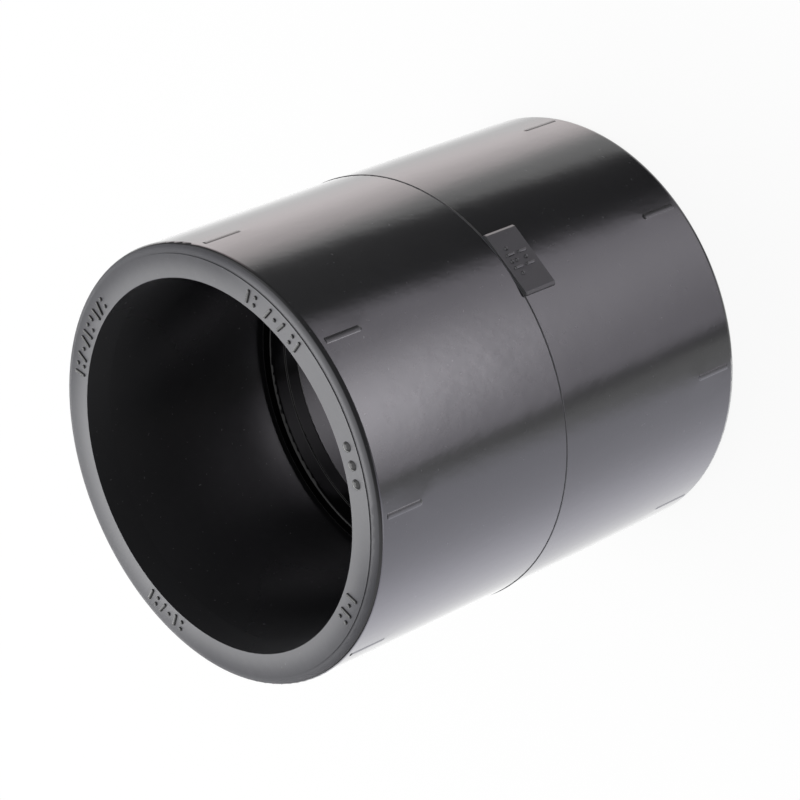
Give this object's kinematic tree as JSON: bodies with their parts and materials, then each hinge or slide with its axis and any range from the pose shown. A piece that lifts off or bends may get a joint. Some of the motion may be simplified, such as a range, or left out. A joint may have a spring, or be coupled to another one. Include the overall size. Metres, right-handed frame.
{
  "type": "pipe socket coupling",
  "caption": "Straight plastic coupling with a plain socket at each end and a low central stop, which joins lengths of pressure pipe by solvent welding.",
  "frame": {"origin": "middle of the lower end face, on the axis, where the coupling stands", "axes": "+Z along the pipe axis, from the lower end face to the upper one; -Y through the middle of the flat marking pad"},
  "size_m": [0.0484, 0.0485, 0.0553],
  "materials": {
    "moulded_plastic": "dark grey moulded plastic, satin gloss on the outside and matte on the end faces"
  },
  "bodies": {
    "root": {"coupling": "moulded_plastic"}
  },
  "joints": []
}
